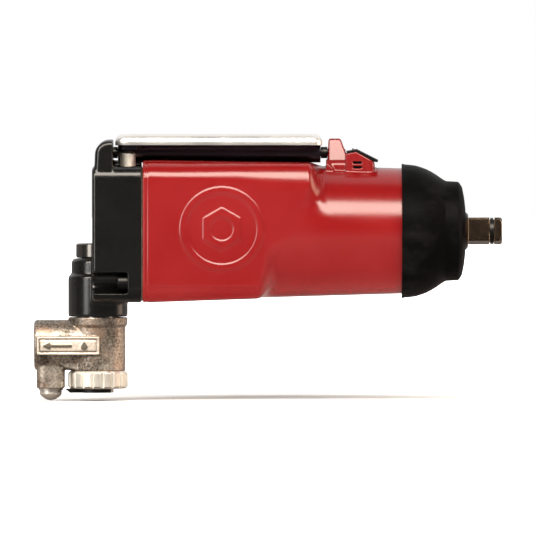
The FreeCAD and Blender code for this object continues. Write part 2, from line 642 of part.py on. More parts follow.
def inlet_strainer():
    """Perforated cup seated at the bottom of the inlet port."""
    rim_x = PORT_END_X + STRAINER_RIM
    cup = rod_x(STRAINER_R - FIT, PORT_END_X, rim_x, 0, ARM_Z)
    cup = cup.fuse(rod_x(4.2, PORT_END_X, rim_x + 3.4, 0, ARM_Z))
    cup = cup.cut(rod_x(3.7, PORT_END_X - 1, rim_x + 2.9, 0, ARM_Z))
    holes = []
    for circle_r, count in ((0, 1), (1.5, 6), (2.8, 12)):
        for i in range(count):
            angle = i * 2 * math.pi / count
            y, z = circle_r * math.cos(angle), ARM_Z + circle_r * math.sin(angle)
            holes.append(rod_x(0.4, rim_x + 2, rim_x + 4, y, z))
    return cup.cut(Part.makeCompound(holes))


def oil_plug():
    """Domed plug of the oiling boss, with a screwdriver slot."""
    head = Part.makeSphere(5.2, vec(OIL_BOSS_X, 0, -62.4))
    head = head.common(rod_z(4.4, -67.6, -63.6, OIL_BOSS_X))
    shank = rod_z(OIL_THREAD_R, -66.0, -53.0, OIL_BOSS_X)
    slot = block(OIL_BOSS_X - 6, OIL_BOSS_X + 6, -0.5, 0.5, -68, -66.6)
    return head.fuse(shank).cut(slot).removeSplitter()


def oil_plug_washer():
    return ring_z(5.0, OIL_THREAD_R + FIT, -63.55, OIL_BOSS_FOOT_Z - 0.05, OIL_BOSS_X)


# Air motor ------------------------------------------------------------------------------------

REAR_BEARING = {"x": -142.6, "wide": 7.0, "bore": 4.0, "outer": 11.0, "ball": 1.98, "count": 7}
FRONT_BEARING = {"x": -91.9, "wide": 8.0, "bore": 6.0, "outer": 14.0, "ball": 2.38, "count": 8}
GROOVE_SLACK = 0.06


def ball_places(bearing):
    """Pitch radius of the balls and the station of their middle."""
    pitch = (bearing["bore"] + bearing["outer"]) / 2
    middle = bearing["x"] + bearing["wide"] / 2
    return pitch, middle


def bearing_track(bearing):
    pitch, middle = ball_places(bearing)
    return Part.makeTorus(pitch, bearing["ball"] + GROOVE_SLACK, vec(middle, 0, 0), X_AXIS)


def outer_ring(bearing):
    pitch = ball_places(bearing)[0]
    inner_r = pitch + bearing["ball"] * 0.55
    ring = ring_x(bearing["outer"], inner_r, bearing["x"], bearing["x"] + bearing["wide"])
    return ring.cut(bearing_track(bearing))


def inner_ring(bearing):
    pitch = ball_places(bearing)[0]
    ring = ring_x(pitch - bearing["ball"] * 0.55, bearing["bore"] + FIT, bearing["x"],
                  bearing["x"] + bearing["wide"])
    return ring.cut(bearing_track(bearing))


def bearing_balls(bearing, grow=0.0):
    pitch, middle = ball_places(bearing)
    ball = Part.makeSphere(bearing["ball"] + grow, vec(middle, 0, pitch))
    return around_x(ball, bearing["count"])


def ball_cage(bearing):
    pitch, middle = ball_places(bearing)
    half_wide = bearing["ball"] + 0.7
    cage = ring_x(pitch + bearing["ball"] * 0.38, pitch - bearing["ball"] * 0.38,
                  middle - half_wide, middle + half_wide)
    return cage.cut(Part.makeCompound(bearing_balls(bearing, 0.1)))


def end_plate(x0, x1, bearing, hole_r):
    """End plate of the cylinder, with a pocket for its bearing on the side away from the rotor."""
    body = rod_x(MOTOR_BORE - RUN, x0, x1)
    pocket_out = x0 - 1 if bearing is REAR_BEARING else x1 + 1
    wall = bearing["x"] + bearing["wide"] if bearing is REAR_BEARING else bearing["x"]
    low, high = sorted((pocket_out, wall))
    return body.cut(rod_x(bearing["outer"] + FIT, low, high)).cut(rod_x(hole_r, x0 - 1, x1 + 1))


def rear_end_plate():
    body = end_plate(REAR_PLATE_X, CYLINDER_BACK_X, REAR_BEARING, 5.0)
    for y in (-PLUNGER_Y, PLUNGER_Y):
        body = body.cut(rod_x(1.6, REAR_PLATE_X - 1, CYLINDER_BACK_X + 1, y, OUTLET_Z))
    return body.cut(rod_x(DOWEL_R + FIT, CYLINDER_BACK_X - 4, CYLINDER_BACK_X + 1, 0, -DOWEL_Z))


DOWEL_R = 0.8
DOWEL_Z = 17.8
EXHAUST_SLOTS = 5


def motor_cylinder():
    """Cylinder whose bore stands off the drive axis, with its exhaust slots at the top."""
    body = rod_x(MOTOR_BORE - RUN, CYLINDER_BACK_X, CYLINDER_FRONT_X)
    bore = rod_x(CYLINDER_BORE, CYLINDER_BACK_X - 1, CYLINDER_FRONT_X + 1, 0, CYLINDER_OFFSET)
    body = body.cut(bore)
    pitch = 6.0
    first = (CYLINDER_BACK_X + CYLINDER_FRONT_X) / 2 - pitch * (EXHAUST_SLOTS - 1) / 2
    for i in range(EXHAUST_SLOTS):
        x = first + i * pitch
        body = body.cut(block(x - 1.2, x + 1.2, -6, 6, 10, 25))
    return body.cut(rod_x(DOWEL_R + FIT, CYLINDER_BACK_X - 1, CYLINDER_BACK_X + 3, 0, -DOWEL_Z))


def cylinder_pin():
    return rod_x(DOWEL_R, CYLINDER_BACK_X - 3.8, CYLINDER_BACK_X + 2.8, 0, -DOWEL_Z)


HEX_AF = 10.0


def rotor():
    """Slotted rotor with its two journals and the hexagon that drives the hammer cage."""
    body = joined([rod_x(ROTOR_R, CYLINDER_BACK_X + END_GAP, CYLINDER_FRONT_X - END_GAP),
                   rod_x(REAR_BEARING["bore"], -142.4, CYLINDER_BACK_X + 1),
                   rod_x(FRONT_BEARING["bore"], CYLINDER_FRONT_X - 1, -83.0),
                   bar_x(0, HEX_AF, -83.0, -74.0, 6)])
    slot = block(CYLINDER_BACK_X, CYLINDER_FRONT_X, -VANE_THICK / 2 - 0.05, VANE_THICK / 2 + 0.05,
                 VANE_ROOT - 0.4, ROTOR_R + 2)
    return body.cut(Part.makeCompound(around_x(slot, VANES)))


def vanes():
    """The sliding vanes, one in each rotor slot, with rounded tips."""
    x0, x1 = CYLINDER_BACK_X + END_GAP + 0.1, CYLINDER_FRONT_X - END_GAP - 0.1
    vane = block(x0, x1, -VANE_THICK / 2, VANE_THICK / 2, VANE_ROOT, VANE_TIP)
    vane = vane.makeFillet(0.6, [e for e in edges_along(vane, X_AXIS) if e.CenterOfMass.z > VANE_TIP - 0.01])
    return around_x(vane, VANES)


# Impact mechanism -----------------------------------------------------------------------------

CAGE_DISC_BACK = 8.0      # thickness of the two cage discs
CAGE_DISC_FRONT = 4.6
CAGE_INNER = 14.9
HAMMER_R = 14.4
HAMMER_BORE = 9.0
LOBE_R = 7.9
SHAFT_R = 6.5


def hammer_cage():
    """Cage on the rotor's hexagon: two discs joined by two bars that hold the hammer pins."""
    body = rod_x(CAGE_R, CAGE_BACK_X, CAGE_FRONT_X)
    inside = (CAGE_BACK_X + CAGE_DISC_BACK, CAGE_FRONT_X - CAGE_DISC_FRONT)
    body = body.cut(rod_x(CAGE_INNER, *inside))
    half_bar = 9.0
    for sign in (-1, 1):
        y0, y1 = sorted((0, sign * 30))
        window = block(inside[0], inside[1], y0, y1, -30, 30)
        window = window.cut(block(inside[0] - 1, inside[1] + 1, -half_bar, half_bar, -31, 31))
        body = body.cut(window)
    for z in (-HAMMER_PIN_Z, HAMMER_PIN_Z):
        body = body.cut(rod_x(HAMMER_PIN_R + FIT, CAGE_BACK_X - 1, CAGE_FRONT_X - 1.2, 0, z))
    body = body.cut(rod_x(JOURNAL_R + 0.15, inside[1] - 1, CAGE_FRONT_X + 1))
    return body.cut(bar_x(0, HEX_AF + 2 * FIT, CAGE_BACK_X - 1, inside[0] + 1, 6)).removeSplitter()


def hammer_pins():
    return [rod_x(HAMMER_PIN_R, CAGE_BACK_X + 0.4, CAGE_FRONT_X - 1.3, 0, z)
            for z in (HAMMER_PIN_Z, -HAMMER_PIN_Z)]


def hammer():
    """Ring hammer that rocks on the upper pin; the lower pin stands in its wide notch."""
    x0 = CAGE_BACK_X + CAGE_DISC_BACK + 0.2
    x1 = CAGE_FRONT_X - CAGE_DISC_FRONT - 0.2
    body = ring_x(HAMMER_R, HAMMER_BORE, x0, x1)
    body = body.cut(rod_x(HAMMER_PIN_R + RUN, x0 - 1, x1 + 1, 0, HAMMER_PIN_Z))
    return body.cut(block(x0 - 1, x1 + 1, -3.4, 3.4, -20, -HAMMER_PIN_Z + HAMMER_PIN_R + 0.2))


def anvil():
    """Anvil: square drive, long journal, thrust collar and the struck lobe inside the hammer."""
    square = bar_x(0.8, DRIVE_AF, -14.0, 0.0, 4, DRIVE_ROLL)
    square = square.common(turned_x([(-20, 0), (-20, 6.3), (-0.9, 6.3), (0, 5.3), (0, 0)]))
    square = square.cut(ring_x(8, 4.6, -5.0, -3.2))
    shoulder = turned_x([(-18, 0), (-18, JOURNAL_R), (-14.9, JOURNAL_R), (-13.6, 6.6), (-13.6, 0)])
    journal = rod_x(JOURNAL_R, CAGE_FRONT_X - CAGE_DISC_FRONT, -17.0)
    collar = rod_x(10.4, CAGE_FRONT_X + 0.3, BUSH_BACK_X - 0.2)
    shaft = rod_x(SHAFT_R, -71.5, -40.0)
    wedge = plate([(0, 0), (-9, 14), (9, 14)], "x", -71.5, -42.2)
    lobe = rod_x(LOBE_R, -71.5, -42.2).common(wedge)
    return joined([square, shoulder, journal, collar, shaft, lobe])


def retainer_ring():
    """Open spring ring that grips the socket."""
    ring = ring_x(5.3, 4.65, -4.8, -3.4)
    return ring.cut(block(-6, -2, -0.8, 0.8, -8, 0))


# Nose -----------------------------------------------------------------------------------------

NOSE_FLANGE_X = -34.0
BOOT_BACK_X = -40.2


def nose_housing():
    """Front housing under the boot: flange, taper and the seat of the anvil bush."""
    body = turned_x([(SPLIT_X, 0), (SPLIT_X, BARREL_R - 0.1), (NOSE_FLANGE_X, BARREL_R - 0.1),
                     (NOSE_FLANGE_X, 17.4), (-22.6, 16.4), (-16.8, 16.4), (-15.6, 15.2), (-15.6, 0)])
    body = body.cut(rod_x(CHAMBER_BORE, SPLIT_X - 1, BUSH_BACK_X))
    body = body.cut(rod_x(10.6, BUSH_BACK_X - 1, -16.4))
    body = body.cut(rod_x(JOURNAL_R + 0.6, -17, -15))
    for y, z in nose_screw_places():
        body = body.cut(rod_x(NOSE_SCREW_THREAD + 0.15, SPLIT_X - 1, NOSE_FLANGE_X + 1, y, z))
    return body


def nose_screw(y, z):
    """Cap screw driven in from the front of the nose flange."""
    screw = cap_screw(NOSE_SCREW_THREAD, -NOSE_FLANGE_X, 14.0, y, z)
    return screw.mirror(vec(0, 0, 0), X_AXIS)


def nose_gasket():
    body = ring_x(BARREL_R - 0.3, CHAMBER_BORE + 0.3, SPLIT_X - GASKET, SPLIT_X)
    for y, z in nose_screw_places():
        body = body.cut(rod_x(NOSE_SCREW_THREAD + 0.15, SPLIT_X - 2, SPLIT_X + 1, y, z))
    return body


def nose_boot():
    """Rubber boot drawn over the nose: sharp rear lip, domed side and a rounded front."""
    outside = [(BOOT_BACK_X, 26.9), (-36.8, 26.5), (-32.8, 25.8), (-28.8, 24.2), (-24.8, 21.8),
               (-22.8, 20.4), (-20.8, 19.9), (-16.6, 19.7), (-15.2, 18.6), (NOSE_X, 15.0), (NOSE_X, 8.5)]
    inside = [(-15.5, 8.5), (-15.5, 16.5), (-22.4, 16.55), (-26.4, 20.4), (-29.2, 22.6), (-31.2, 24.0),
              (-34.0, 25.2), (BOOT_BACK_X, 25.2)]
    curve = Part.BSplineCurve()
    curve.interpolate([vec(x, 0, r) for x, r in outside[:6]])
    edges = [curve.toShape()]
    corners = [vec(x, 0, r) for x, r in outside[5:] + inside + outside[:1]]
    edges += [Part.LineSegment(a, b).toShape() for a, b in zip(corners, corners[1:])]
    return Part.Face(Part.Wire(edges)).revolve(vec(0, 0, 0), X_AXIS, 360)


def anvil_bush():
    return ring_x(10.6 - FIT, JOURNAL_R + RUN, BUSH_BACK_X, BUSH_FRONT_X - 0.5)


# Exhaust --------------------------------------------------------------------------------------

def exhaust_deflector():
    """Folded cap on the exhaust tower, with two legs pressed down inside its hollow."""
    peak_x, peak_z = TOWER_PEAK
    brow_x, brow_z = TOWER_BROW
    lower = [(TOWER_BACK_X + 0.4, 31.15), (peak_x, peak_z + 0.05), (brow_x - 0.2, brow_z + 0.2),
             (TOWER_FRONT_X + 0.6, 27.6)]
    upper = [(TOWER_FRONT_X + 0.8, 28.5), (peak_x + 0.3, peak_z + 1.0), (TOWER_BACK_X, 32.0)]
    cap = plate(lower + upper, "y", -TOWER_HALF + 0.6, TOWER_HALF - 0.6)
    under = plate([(-70, 0), (-70, 40), (peak_x, peak_z + 0.4), (brow_x, brow_z + 0.6), (brow_x, 0)],
                  "y", -20, 20)
    legs = []
    for sign in (-1, 1):
        y0, y1 = sorted((sign * (TOWER_HALF - 2 - FIT), sign * (TOWER_HALF - 3)))
        leg = block(TOWER_BACK_X + 2.5, TOWER_FRONT_X - 2.5, y0, y1, 22.0, 33.0)
        legs.append(leg.common(under))
    return joined([cap] + legs)


def exhaust_silencer():
    """Perforated baffle plate across the tower."""
    sheet = block(TOWER_BACK_X + 2.5, TOWER_FRONT_X - 2.5, -TOWER_HALF + 3.1, TOWER_HALF - 3.1, 23.6, 24.4)
    holes = [rod_z(0.7, 23, 25, TOWER_BACK_X + 4.2 + 1.8 * i, -5.4 + 1.8 * j)
             for i in range(3) for j in range(7)]
    return sheet.cut(Part.makeCompound(holes))


# All nodes ------------------------------------------------------------------------------------

def nodes():
    """Name and shape of every sub-part."""
    parts = {
        "motor_housing": motor_housing(),
        "rear_cover": rear_cover(),
        "rear_gasket": gasket_outline(COVER_FRONT_X, HOUSING_BACK_X),
        "rear_cover_screws": [cap_screw(COVER_SCREW_THREAD, COVER_SCREW_SEAT_X, 21.0, y, z)
                              for y, z in cover_screw_places()],
        "throttle_lever": throttle_lever(),
        "lever_pin": lever_pin(),
        "lever_washers": lever_washers(),
        "forward_plunger": plunger(-PLUNGER_Y),
        "reverse_plunger": plunger(PLUNGER_Y),
        "forward_plunger_seal": plunger_seal(-PLUNGER_Y),
        "reverse_plunger_seal": plunger_seal(PLUNGER_Y),
        "forward_plunger_spring": plunger_spring(-PLUNGER_Y),
        "reverse_plunger_spring": plunger_spring(PLUNGER_Y),
        "valve_sleeves": valve_sleeves(),
        "regulator_knob": regulator_knob(),
        "regulator_valve": regulator_valve(),
        "regulator_seal": regulator_seal(),
        "regulator_screw": regulator_screw(),
        "inlet_stem": inlet_stem(),
        "swivel_seals": swivel_seals(),
        "swivel_nut": swivel_nut(),
        "swivel_clip": swivel_clip(),
        "swivel_body": swivel_body(),
        "inlet_strainer": inlet_strainer(),
        "oil_plug": oil_plug(),
        "oil_plug_washer": oil_plug_washer(),
        "rear_end_plate": rear_end_plate(),
        "motor_cylinder": motor_cylinder(),
        "cylinder_pin": cylinder_pin(),
        "front_end_plate": end_plate(CYLINDER_FRONT_X, CHAMBER_BACK_X - RUN, FRONT_BEARING, 7.0),
        "rotor": rotor(),
        "hammer_cage": hammer_cage(),
        "hammer_pins": hammer_pins(),
        "hammer": hammer(),
        "anvil": anvil(),
        "anvil_bush": anvil_bush(),
        "retainer_ring": retainer_ring(),
        "nose_housing": nose_housing(),
        "nose_gasket": nose_gasket(),
        "nose_screws": [nose_screw(y, z) for y, z in nose_screw_places()],
        "nose_boot": nose_boot(),
        "exhaust_deflector": exhaust_deflector(),
        "exhaust_silencer": exhaust_silencer(),
    }
    for name, bearing in (("rear_bearing", REAR_BEARING), ("front_bearing", FRONT_BEARING)):
        parts[name + "_outer_ring"] = outer_ring(bearing)
        parts[name + "_inner_ring"] = inner_ring(bearing)
        parts[name + "_balls"] = bearing_balls(bearing)
        parts[name + "_cage"] = ball_cage(bearing)
    for number, vane in enumerate(vanes(), 1):
        parts["vane_" + str(number)] = vane
    return parts


os.makedirs("parts", exist_ok=True)
for node_name, node_shape in nodes().items():
    save(node_name, node_shape)
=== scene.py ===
"""Looks, stage and camera for the butterfly-throttle impact wrench.

Lengths are metres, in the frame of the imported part: the drive turns about X and points to +X, the
origin is the middle of the square drive's front face and +Z is up towards the throttle lever.
"""

import itertools
import math

import bpy
import numpy as np
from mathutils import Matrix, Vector

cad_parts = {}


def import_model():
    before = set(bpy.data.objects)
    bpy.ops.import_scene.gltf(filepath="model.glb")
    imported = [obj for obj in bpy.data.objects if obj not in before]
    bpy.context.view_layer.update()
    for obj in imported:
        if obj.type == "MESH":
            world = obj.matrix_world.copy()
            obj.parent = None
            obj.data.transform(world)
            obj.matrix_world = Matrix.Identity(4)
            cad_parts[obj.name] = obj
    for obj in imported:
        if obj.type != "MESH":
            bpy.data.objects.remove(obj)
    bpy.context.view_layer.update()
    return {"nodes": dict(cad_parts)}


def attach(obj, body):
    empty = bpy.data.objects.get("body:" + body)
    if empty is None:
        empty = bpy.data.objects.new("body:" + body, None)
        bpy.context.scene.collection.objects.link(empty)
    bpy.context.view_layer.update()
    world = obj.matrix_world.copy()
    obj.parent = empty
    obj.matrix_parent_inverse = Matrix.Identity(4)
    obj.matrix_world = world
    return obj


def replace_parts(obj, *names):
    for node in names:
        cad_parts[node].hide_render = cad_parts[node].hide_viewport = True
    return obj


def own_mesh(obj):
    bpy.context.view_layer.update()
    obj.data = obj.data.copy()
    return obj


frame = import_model()
NODES = frame["nodes"]
MM = 0.001

# The floor lies just under the oil plug, the tool's lowest point.
FLOOR_Z = -67.9 * MM


# Meshes ---------------------------------------------------------------------------------------

def mesh_object(name, points, faces):
    mesh = bpy.data.meshes.new(name)
    mesh.from_pydata([tuple(p) for p in points], [], faces)
    mesh.validate()
    piece = bpy.data.objects.new(name, mesh)
    bpy.context.scene.collection.objects.link(piece)
    return piece


def shade_smooth(piece):
    piece.data.polygons.foreach_set("use_smooth", [True] * len(piece.data.polygons))
    piece.data.update()


def coordinates(mesh):
    points = np.empty(len(mesh.vertices) * 3)
    mesh.vertices.foreach_get("co", points)
    return points.reshape(-1, 3)


def ramp(values, low, high):
    """0 below low, 1 above high and a smooth step in between; low may be the larger one."""
    t = np.clip((values - low) / (high - low), 0, 1)
    return t * t * (3 - 2 * t)


def relax(mesh, passes):
    """Moves every vertex halfway to the middle of its neighbours, as many times as passes says."""
    points = coordinates(mesh)
    pairs = np.empty(len(mesh.edges) * 2, np.int64)
    mesh.edges.foreach_get("vertices", pairs)
    first, second = pairs.reshape(-1, 2).T
    total = len(points)
    neighbours = np.bincount(pairs, minlength=total)
    for _ in range(passes):
        for axis in range(3):
            line = points[:, axis]
            near = np.bincount(first, line[second], total) + np.bincount(second, line[first], total)
            points[:, axis] = line + 0.5 * (near / neighbours - line)
    mesh.vertices.foreach_set("co", points.ravel())
    mesh.update()


def copy_of(node, name):
    """A loose copy of a CAD node's mesh, to be reworked into a piece of its own."""
    piece = bpy.data.objects.new(name, NODES[node].data.copy())
    piece.data.name = name
    bpy.context.scene.collection.objects.link(piece)
    return piece


def apply_modifiers(piece):
    finished = piece.evaluated_get(bpy.context.evaluated_depsgraph_get())
    piece.data = bpy.data.meshes.new_from_object(finished)
    piece.modifiers.clear()


def recast(piece, cell, passes):
    """Rebuilds closed shells as one skin of small cells, with edges as soft as a casting's."""
    rebuild = piece.modifiers.new("rebuild", "REMESH")
    rebuild.mode = "VOXEL"
    rebuild.voxel_size = cell
    apply_modifiers(piece)
    relax(piece.data, passes)
    shade_smooth(piece)


def box_object(name, low, high):
    """Box between two opposite corners, given in millimetres."""
    corners = itertools.product(*zip(low, high))
    points = [[value * MM for value in corner] for corner in corners]
    faces = [(0, 1, 3, 2), (4, 6, 7, 5), (0, 4, 5, 1), (2, 3, 7, 6), (0, 2, 6, 4), (1, 5, 7, 3)]
    return mesh_object(name, points, faces)


def turned(name, outline, segments):
    """Surface turned about the drive axis from a closed outline of (x, radius) points."""
    points, faces = [], []
    count = len(outline)
    for i in range(segments):
        angle = i * 2 * math.pi / segments
        points += [(x, r * math.sin(angle), r * math.cos(angle)) for x, r in outline]
    for i in range(segments):
        here, there = i * count, (i + 1) % segments * count
        for k in range(count):
            after = (k + 1) % count
            faces.append((here + k, here + after, there + after, there + k))
    piece = mesh_object(name, points, faces)
    shade_smooth(piece)
    return piece


def rounded(corners, radius, steps):
    """Closed outline with every corner replaced by a short curve of about the given radius."""
    result = []
    count = len(corners)
    for i, corner in enumerate(corners):
        here = Vector(corner)
        before = Vector(corners[i - 1]) - here
        after = Vector(corners[(i + 1) % count]) - here
        start = here + before.normalized() * min(radius, before.length * 0.45)
        end = here + after.normalized() * min(radius, after.length * 0.45)
        for step in range(steps + 1):
            t = step / steps
            result.append(tuple(start * (1 - t) ** 2 + here * 2 * t * (1 - t) + end * t * t))
    return result


# Materials ------------------------------------------------------------------------------------

class Finish:
    """A material built up from texture nodes round one Principled shader."""

    def __init__(self, name, **settings):
        self.material = bpy.data.materials.new(name)
        self.material.use_nodes = True
        self.tree = self.material.node_tree
        self.shader = self.tree.nodes["Principled BSDF"]
        self.place = self.add("ShaderNodeTexCoord").outputs["Object"]
        self.set(**settings)

    def add(self, kind, **settings):
        node = self.tree.nodes.new(kind)
        for key, value in settings.items():
            setattr(node, key, value)
        return node

    def feed(self, socket, value):
        """Links a node's output to a socket, or writes a plain value into it."""
        if isinstance(value, bpy.types.NodeSocket):
            self.tree.links.new(value, socket)
        else:
            socket.default_value = value

    def set(self, **settings):
        """Feeds the shader's own inputs, named with _ for a space."""
        for key, value in settings.items():
            self.feed(self.shader.inputs[key.replace("_", " ")], value)

    def noise(self, size, detail=3.0, stretch=(1, 1, 1)):
        """Cloudy noise from 0 to 1 whose blobs are about size metres across."""
        mapping = self.add("ShaderNodeMapping")
        self.feed(mapping.inputs["Vector"], self.place)
        mapping.inputs["Scale"].default_value = stretch
        noise = self.add("ShaderNodeTexNoise")
        self.feed(noise.inputs["Vector"], mapping.outputs["Vector"])
        noise.inputs["Scale"].default_value = 1 / size
        noise.inputs["Detail"].default_value = detail
        return noise.outputs["Fac"]

    def span(self, value, low, high, start=0.0, end=1.0):
        """Rescales low..high to start..end, clamped."""
        span = self.add("ShaderNodeMapRange")
        for key, number in (("Value", value), ("From Min", low), ("From Max", high),
                            ("To Min", start), ("To Max", end)):
            self.feed(span.inputs[key], number)
        return span.outputs["Result"]

    def calc(self, operation, first, second):
        node = self.add("ShaderNodeMath", operation=operation)
        self.feed(node.inputs[0], first)
        self.feed(node.inputs[1], second)
        return node.outputs[0]

    def blend(self, share, first, second):
        """Colour that runs from first to second as share runs from 0 to 1."""
        node = self.add("ShaderNodeMix", data_type="RGBA")
        self.feed(node.inputs["Factor"], share)
        for name, colour in (("A", first), ("B", second)):
            socket = [s for s in node.inputs if s.name == name and s.type == "RGBA"][0]
            self.feed(socket, colour if isinstance(colour, bpy.types.NodeSocket) else (*colour, 1))
        return [s for s in node.outputs if s.type == "RGBA"][0]

    def specks(self, cell, radius, share):
        """Sparse round specks: one in some of the cells; 1 on a speck."""
        cells = self.add("ShaderNodeTexVoronoi")
        self.feed(cells.inputs["Vector"], self.place)
        cells.inputs["Scale"].default_value = 1 / cell
        picked = self.add("ShaderNodeSeparateColor")
        self.feed(picked.inputs["Color"], cells.outputs["Color"])
        kept = self.calc("LESS_THAN", picked.outputs["Red"], share)
        size = self.calc("MULTIPLY", picked.outputs["Green"], radius / cell)
        return self.calc("MULTIPLY", kept, self.calc("LESS_THAN", cells.outputs["Distance"], size))

    def edges(self, radius):
        """1 on sharp edges and 0 on faces, and the normal that rounds those edges."""
        bevel = self.add("ShaderNodeBevel", samples=4)
        bevel.inputs["Radius"].default_value = radius
        plain = self.add("ShaderNodeNewGeometry")
        dot = self.add("ShaderNodeVectorMath", operation="DOT_PRODUCT")
        self.feed(dot.inputs[0], bevel.outputs["Normal"])
        self.feed(dot.inputs[1], plain.outputs["True Normal"])
        return self.span(dot.outputs["Value"], 0.99, 0.8), bevel.outputs["Normal"]

    def relief(self, layers, normal=None):
        """Stacks bump layers of (height, depth in metres) and feeds the shader's normal."""
        for height, depth in layers:
            bump = self.add("ShaderNodeBump")
            bump.inputs["Distance"].default_value = depth
            self.feed(bump.inputs["Height"], height)
            if normal is not None:
                self.feed(bump.inputs["Normal"], normal)
            normal = bump.outputs["Normal"]
        self.feed(self.shader.inputs["Normal"], normal)


def metal(name, colour, rough, grain, depth, tone=0.12, edge=0.15 * MM, stretch=(1, 1, 1)):
    """Bare or plated metal: cloudy tone, uneven gloss, fine grain and slightly rubbed edges."""
    look = Finish(name, Metallic=1.0)
    clouds = look.noise(9 * MM, 4)
    grains = look.noise(grain, 3, stretch)
    brightened, normal = look.edges(edge)
    dark = tuple(c * (1 - tone) for c in colour)
    light = tuple(min(1, c * (1 + tone)) for c in colour)
    body = look.blend(look.span(clouds, 0.3, 0.7), dark, light)
    look.set(Base_Color=look.blend(brightened, body, tuple(min(1, c * 1.25) for c in colour)))
    look.set(Roughness=look.calc("ADD", look.span(grains, 0.3, 0.7, rough * 0.8, rough * 1.15),
                                 look.span(clouds, 0.3, 0.7, -0.03, 0.03)))
    look.relief([(grains, depth), (clouds, 0.01 * MM)], normal)
    return look


def red_paint():
    """Gloss red over an aluminium casting, with faint orange peel and a few dust specks."""
    look = Finish("red_paint", Specular_IOR_Level=0.6)
    clouds = look.noise(25 * MM, 3)
    peel = look.noise(1.6 * MM, 2)
    fine = look.noise(0.35 * MM, 2)
    specks = look.specks(9 * MM, 0.35 * MM, 0.3)
    red = look.blend(look.span(clouds, 0.3, 0.7), (0.123, 0.0018, 0.0022), (0.144, 0.0026, 0.0030))
    look.set(Base_Color=look.blend(specks, red, (0.03, 0.002, 0.003)))
    look.set(Roughness=look.span(clouds, 0.3, 0.7, 0.18, 0.24))
    look.relief([(peel, 0.006 * MM), (fine, 0.001 * MM)])
    return look


def black_paint():
    """Gloss black over the rear casting, a little grey on its edges."""
    look = Finish("black_paint", Specular_IOR_Level=0.5)
    clouds = look.noise(12 * MM, 4)
    skin = look.noise(0.7 * MM, 3)
    brightened, normal = look.edges(0.4 * MM)
    body = look.blend(look.span(clouds, 0.3, 0.7), (0.0018, 0.0018, 0.0017), (0.0032, 0.0032, 0.0030))
    look.set(Base_Color=look.blend(look.calc("MULTIPLY", brightened, 0.4), body, (0.02, 0.02, 0.018)))
    look.set(Roughness=look.span(skin, 0.3, 0.7, 0.16, 0.26))
    look.relief([(skin, 0.008 * MM), (clouds, 0.03 * MM)], normal)
    return look


def boot_rubber():
    """Moulded black rubber with a thin dusty bloom."""
    look = Finish("boot_rubber", Specular_IOR_Level=0.03)
    bloom = look.noise(14 * MM, 5)
    smear = look.noise(5 * MM, 4, (0.4, 1, 1))
    skin = look.noise(0.25 * MM, 3)
    share = look.calc("MULTIPLY", look.span(bloom, 0.45, 0.75), look.span(smear, 0.35, 0.7))
    look.set(Base_Color=look.blend(share, (0.0012, 0.0012, 0.0013), (0.009, 0.0082, 0.0078)))
    look.set(Roughness=look.span(smear, 0.3, 0.7, 0.4, 0.55))
    look.relief([(skin, 0.01 * MM), (smear, 0.05 * MM)])
    return look


def soft_rubber():
    """Plain black rubber of the seals."""
    look = Finish("seal_rubber", Specular_IOR_Level=0.4)
    skin = look.noise(0.3 * MM, 3)
    look.set(Base_Color=look.blend(skin, (0.008, 0.008, 0.008), (0.02, 0.02, 0.02)))
    look.set(Roughness=look.span(skin, 0.3, 0.7, 0.4, 0.6))
    look.relief([(skin, 0.01 * MM)])
    return look


# Height over which the painted shade on the lever's tube and underside gives way to its plated top.
UNDERSIDE_SHADE_Z = (34.45 * MM, 34.7 * MM)


def chrome():
    """Satin chrome on the lever's rail; its tube and underside are coloured near black as painted shade.
    """
    look = metal("chrome", (0.92, 0.90, 0.88), 0.26, 0.5 * MM, 0.0005 * MM, 0.03, 0.3 * MM)
    plated = look.shader.inputs["Base Color"].links[0].from_socket
    height = look.add("ShaderNodeSeparateXYZ")
    look.feed(height.inputs[0], look.place)
    bright = look.span(height.outputs["Z"], *UNDERSIDE_SHADE_Z)
    # Painted shade: below this height the lever is coloured near black.
    look.set(Base_Color=look.blend(bright, (0.06, 0.05, 0.065), plated))
    look.set(Roughness=look.span(look.noise(18 * MM, 4), 0.3, 0.7, 0.3, 0.4))
    return look


# Places where the swivel body's colour changes, each from the start to the end of the change: painted
# shade on the crown, a painted highlight on the sign face and the sign's dark marks.
CROWN_Z = (-42 * MM, -38.5 * MM)
CROWN_X = (-167 * MM, -171 * MM)
SIGN_TOP_Z = (-41.2 * MM, -41.8 * MM)
SIGN_FACE_Y = (-11.5 * MM, -11.8 * MM)
SIGN_MARKS_Y = (-12.0 * MM, -12.12 * MM)


